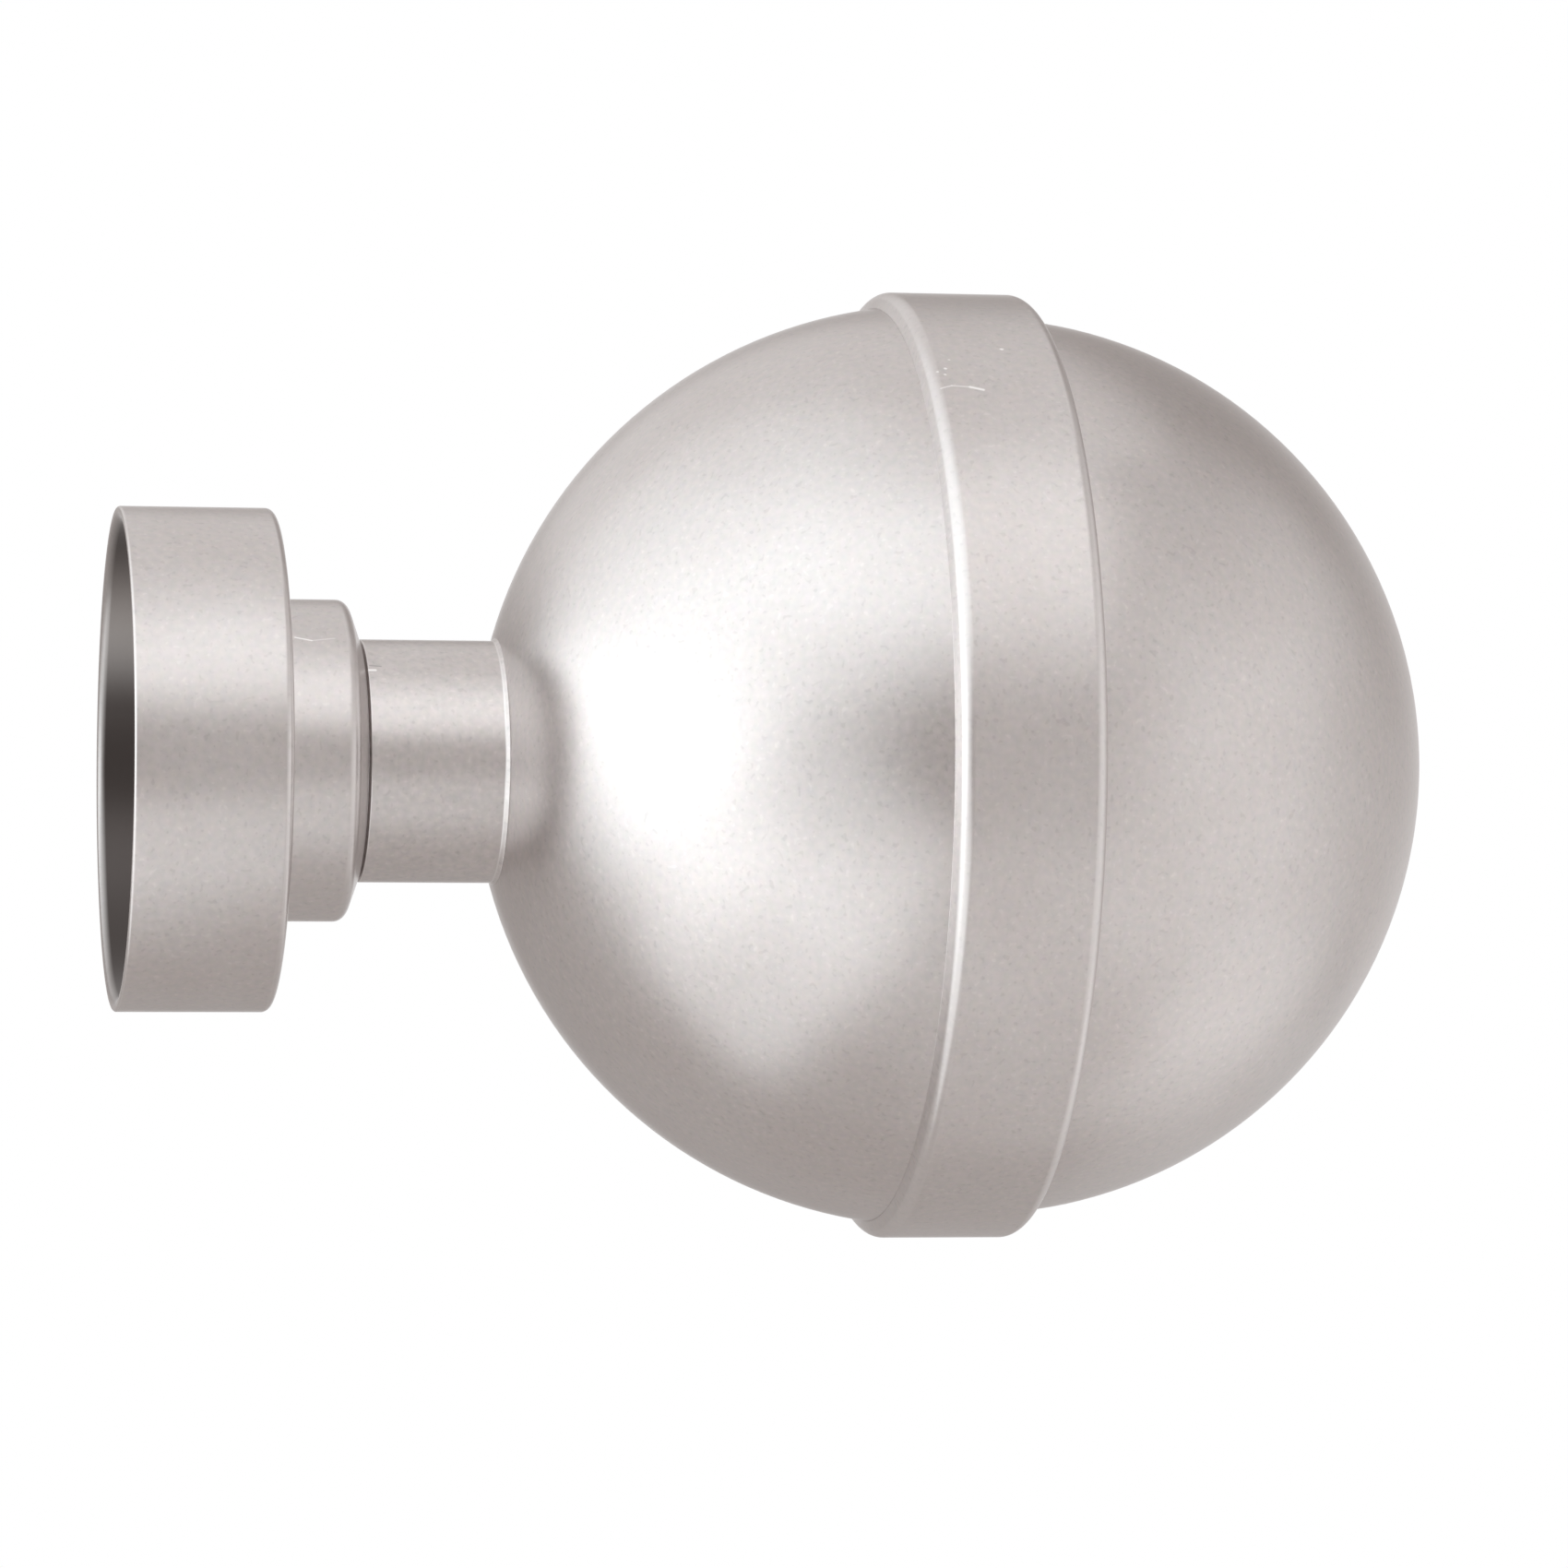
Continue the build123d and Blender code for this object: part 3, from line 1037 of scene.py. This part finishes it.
@dataclass(frozen=True)
class PoleSocket:
    """Cup over the pole's end with its sunk well, the collar behind it and the neck."""

    camera: PhotoCamera
    bore_radius: float = 14.2
    wall: float = 0.8
    depth: float = 8.4
    lip_inner_round: float = 0.5
    lip_outer_round: float = 0.15
    base: float = 0.8
    base_round: float = 0.5
    well_radius: float = 5.6
    well_mouth_round: float = 0.5
    well_floor_round: float = 0.4
    bore_floor_round: float = 0.1
    collar_radius: float = 9.6
    collar_length: float = 4.9
    collar_wall: float = 0.8
    collar_foot_round: float = 0.12
    collar_round: float = 0.75
    collar_inner_round: float = 0.5
    shoulder_start: float = 5.1
    shoulder_end: float = 5.9
    shoulder_foot: float = 7.35
    shoulder_round: float = 0.08
    neck_length: float = 8.5
    neck_round: float = 0.12
    groove_length: float = 0.24
    groove_depth: float = 0.14
    groove_shade: float = 0.30
    groove_slope: float = 0.16
    flare_length: float = 0.20
    flare_rise: float = 0.15
    flare_round: float = 0.20
    finish: SatinNickel = SatinNickel()
    # The neck's edges get a stronger painted highlight, with some wear
    worn_and_highlit: SatinNickel = SatinNickel(wear_and_highlight=0.9, grain_contrast=0.24)
    collar_strokes: tuple[Stroke, ...] = (
        Stroke(((320, 691), (338, 694.5)), 3.0, 1.0),
        Stroke(((338, 694.5), (363, 692)), 2.6, 0.4),
    )
    neck_strokes: tuple[Stroke, ...] = (
        Stroke(((401, 721.5), (413, 722.5)), 3.0, 0.6, 0.3),
        Stroke(((399, 726.5), (407, 726.5)), 5.0, 1.0),
    )

    @property
    def collar_end(self) -> float:
        """Where the collar ends and the neck starts."""
        return self.base + self.collar_length

    @property
    def groove_radius(self) -> float:
        """Radius of the groove's floor, between collar and neck."""
        return NECK_RADIUS - self.groove_depth

    @property
    def neck_end(self) -> float:
        """Where the neck ends and the ball starts."""
        return self.collar_end + self.neck_length

    def cup(self) -> bpy.types.Object:
        """Cup: lip rounded on the inside, straight bore, base with a sunk well and a hole.

        Returns:
            The cup.
        """
        outer = self.bore_radius + self.wall
        well_back = self.collar_end - self.collar_wall
        well_floor = well_back - self.base
        profile = outline(
            [
                Corner(-self.depth, self.bore_radius, self.lip_inner_round),
                Corner(-self.depth, outer, self.lip_outer_round),
                Corner(self.base, outer, self.base_round),
                Corner(self.base, self.well_radius + self.base),
                Corner(well_back, self.well_radius + self.base, self.well_floor_round),
                Corner(well_back, HOLE_RADIUS),
                # The well and the bore take the inside's painted shade and its belt of painted
                # reflection
                Corner(well_floor, HOLE_RADIUS, bore=1.0),
                Corner(well_floor, self.well_radius, bore=1.0),
                Corner(0, self.well_radius, self.well_mouth_round, bore=1.0),
                Corner(0, self.bore_radius, self.bore_floor_round, bore=1.0),
            ]
        )
        return turned_mesh("socket_cup_turned", profile)

    def collar(self) -> bpy.types.Object:
        """Collar: a shallow cap whose rounded shoulder tapers down to the neck.

        Returns:
            The collar.
        """
        inner = self.collar_radius - self.collar_wall
        floor = self.collar_end - self.collar_wall
        profile = outline(
            [
                Corner(self.base, inner),
                Corner(self.base, self.collar_radius, self.collar_foot_round),
                Corner(self.shoulder_start, self.collar_radius, self.collar_round),
                Corner(self.shoulder_end, self.shoulder_foot, self.shoulder_round),
                Corner(self.collar_end, self.groove_radius, SHARP),
                Corner(self.collar_end, HOLE_RADIUS),
                Corner(floor, HOLE_RADIUS),
                Corner(floor, inner, self.collar_inner_round),
            ]
        )
        return turned_mesh("collar_turned", profile)

    def neck(self) -> bpy.types.Object:
        """Neck: a turned spacer with a groove at the collar and a small flare on the ball.

        The flare's tip lies on the ball. It stands past the neck's end by the difference of
        two distances from the ball's centre along the axis, each of them the root of the
        ball's radius squared less the distance from the axis squared.

        Returns:
            The neck.
        """
        groove_end = self.collar_end + self.groove_length
        flare_radius = NECK_RADIUS + self.flare_rise
        depths = [math.sqrt(BALL_RADIUS**2 - r**2) for r in (NECK_RADIUS, flare_radius)]
        profile = outline(
            [
                Corner(self.collar_end, HOLE_RADIUS),
                # The groove's floor takes the bore's painted shade, at the share groove_shade
                Corner(self.collar_end, self.groove_radius, SHARP, bore=self.groove_shade),
                Corner(groove_end, self.groove_radius, SHARP),
                Corner(groove_end + self.groove_slope, NECK_RADIUS, self.neck_round),
                Corner(self.neck_end - self.flare_length, NECK_RADIUS, self.flare_round),
                Corner(self.neck_end + depths[0] - depths[1], flare_radius, SHARP),
                Corner(self.neck_end, NECK_RADIUS, SHARP),
                Corner(self.neck_end, HOLE_RADIUS),
            ]
        )
        return turned_mesh("neck_turned", profile)

    def build(self) -> None:
        """Builds and dresses the three pieces.

        Mirror reflections leave the cup out, because it would darken the ball by the neck.
        """
        nickel = self.finish
        cup = self.cup()
        cup.visible_glossy = False
        dress(cup, "socket_cup", nickel.build("cup_nickel"))
        marks = laid(self.collar_strokes, self.camera, self.collar_radius)
        dress(self.collar(), "collar_cap", nickel.build("collar_nickel", marks))
        marks = laid(self.neck_strokes, self.camera, NECK_RADIUS)
        dress(self.neck(), "neck_spacer", self.worn_and_highlit.build("neck_nickel", marks))


@dataclass(frozen=True)
class BandedBall:
    """Ball of two pressed halves with a raised band round its middle."""

    camera: PhotoCamera
    seat: float = 14.2
    seat_round: float = 0.12
    sheet: float = 0.7
    clearance: float = 0.03
    skirt_lap: float = 3.6
    front_shift: float = 2.25
    band_width: float = 9.0
    band_proud: float = 0.67
    band_setback: float = 0.25
    band_bevel: float = 0.48
    band_top_round: float = 0.8
    band_round: float = 0.7
    finish: SatinNickel = SatinNickel()
    strokes: tuple[Stroke, ...] = (
        Stroke(((1020, 421), (1032, 418), (1052, 419.5)), 3.4, 0.6),
        Stroke(((1052, 419.5), (1066, 422.5)), 6.0, 1.0),
        Stroke(((1086, 378.6),), 7.0, 1.0),
        Stroke(((1025, 399.5),), 6.0, 1.0),
        Stroke(((1016.5, 403),), 5.0, 0.9),
        Stroke(((1024.7, 406),), 5.0, 0.8),
        Stroke(((1029, 390),), 5.0, 0.5),
    )

    @property
    def centre(self) -> float:
        """Centre of the rear half, along the axis."""
        return self.seat + math.sqrt(BALL_RADIUS**2 - NECK_RADIUS**2)

    @property
    def band_end(self) -> float:
        """Where the band ends on the front half's side."""
        return self.centre + self.band_width / 2

    @property
    def inner_radius(self) -> float:
        """Radius of the rear half's inside."""
        return BALL_RADIUS - self.sheet

    @property
    def rear_rim(self) -> float:
        """Where the rear half's skirt ends, just short of the band's flange."""
        return self.band_end - self.sheet - self.clearance

    def height(self, radius: float, x: float) -> float:
        """Height above the axis of a circle about the rear half's centre, at x."""
        return math.sqrt(radius**2 - (x - self.centre) ** 2)

    def rear_half(self) -> bpy.types.Object:
        """Rear half: flat seat for the neck, round wall and straight skirt.

        Returns:
            The rear half.
        """
        inner = self.inner_radius
        inside = self.seat + self.sheet
        profile = outline(
            [
                Corner(self.rear_rim, inner),
                Corner(self.centre, inner, centre=self.centre),
                Corner(inside, self.height(inner, inside)),
                Corner(inside, HOLE_RADIUS),
                Corner(self.seat, HOLE_RADIUS),
                Corner(self.seat, NECK_RADIUS, self.seat_round, centre=self.centre),
                Corner(self.centre, BALL_RADIUS),
                Corner(self.rear_rim, BALL_RADIUS),
            ]
        )
        return turned_mesh("rear_half_turned", profile)

    def front_half(self) -> bpy.types.Object:
        """Front half: closed pole, and a skirt that goes inside the rear half's.

        Returns:
            The front half.
        """
        centre = self.centre + self.front_shift
        outer = self.inner_radius - self.clearance
        inner = outer - self.sheet
        rim = self.rear_rim - self.skirt_lap
        profile = outline(
            [
                Corner(centre + outer, 0.0, centre=centre),
                Corner(centre, outer),
                Corner(rim, outer),
                Corner(rim, inner),
                Corner(centre, inner, centre=centre),
                Corner(centre + inner, 0.0),
            ],
            closed=False,
        )
        return turned_mesh("front_half_turned", profile)

    def band(self) -> bpy.types.Object:
        """Band: a hoop with a bevel towards the neck and a flange over the rear half's rim.

        Returns:
            The band.
        """
        start = self.centre - self.band_width / 2 + self.band_setback
        hug = BALL_RADIUS + self.clearance
        top = BALL_RADIUS + self.band_proud
        flange = self.band_end - self.sheet
        profile = outline(
            [
                Corner(start, self.height(BALL_RADIUS, start), SHARP),
                Corner(start + self.band_bevel, top, self.band_top_round),
                Corner(self.band_end, top, self.band_round),
                Corner(self.band_end, self.inner_radius),
                Corner(flange, self.inner_radius),
                Corner(flange, hug),
                Corner(self.centre, hug, centre=self.centre),
            ]
        )
        return turned_mesh("band_turned", profile)

    def build(self) -> None:
        """Builds and dresses the three pieces.

        The band alone has marks, which lie on its outer face.
        """
        nickel = self.finish
        dress(self.rear_half(), "rear_half_ball", nickel.build("rear_nickel"))
        dress(self.front_half(), "front_half_ball", nickel.build("front_nickel"))
        marks = laid(self.strokes, self.camera, BALL_RADIUS + self.band_proud)
        dress(self.band(), "equator_band", nickel.build("band_nickel", marks))


@dataclass(frozen=True)
class Fasteners:
    """Tie screw, spring washer and nut, which keep their CAD shapes."""

    nodes: tuple[str, ...] = ("tie_screw", "spring_washer", "weld_nut")

    def build(self) -> None:
        """Dresses the CAD nodes in zinc plate.

        The finish replaces the materials that they come with.
        """
        zinc = ZincPlate()
        for name in self.nodes:
            node = frame["nodes"][name]
            node.data.materials.clear()
            node.data.materials.append(zinc.build(f"{name}_zinc"))
            LOG.info("%s: kept from the frame", name)


def main() -> None:
    """Builds camera, studio and every sub-assembly in order.
    """
    logging.basicConfig(level=logging.INFO, format="%(name)s %(message)s")
    camera = PhotoCamera()
    camera.build()
    for part in (Studio(camera), PoleSocket(camera), BandedBall(camera), Fasteners()):
        part.build()
        LOG.info("%s is in place", type(part).__name__)


if __name__ == "__main__":
    main()
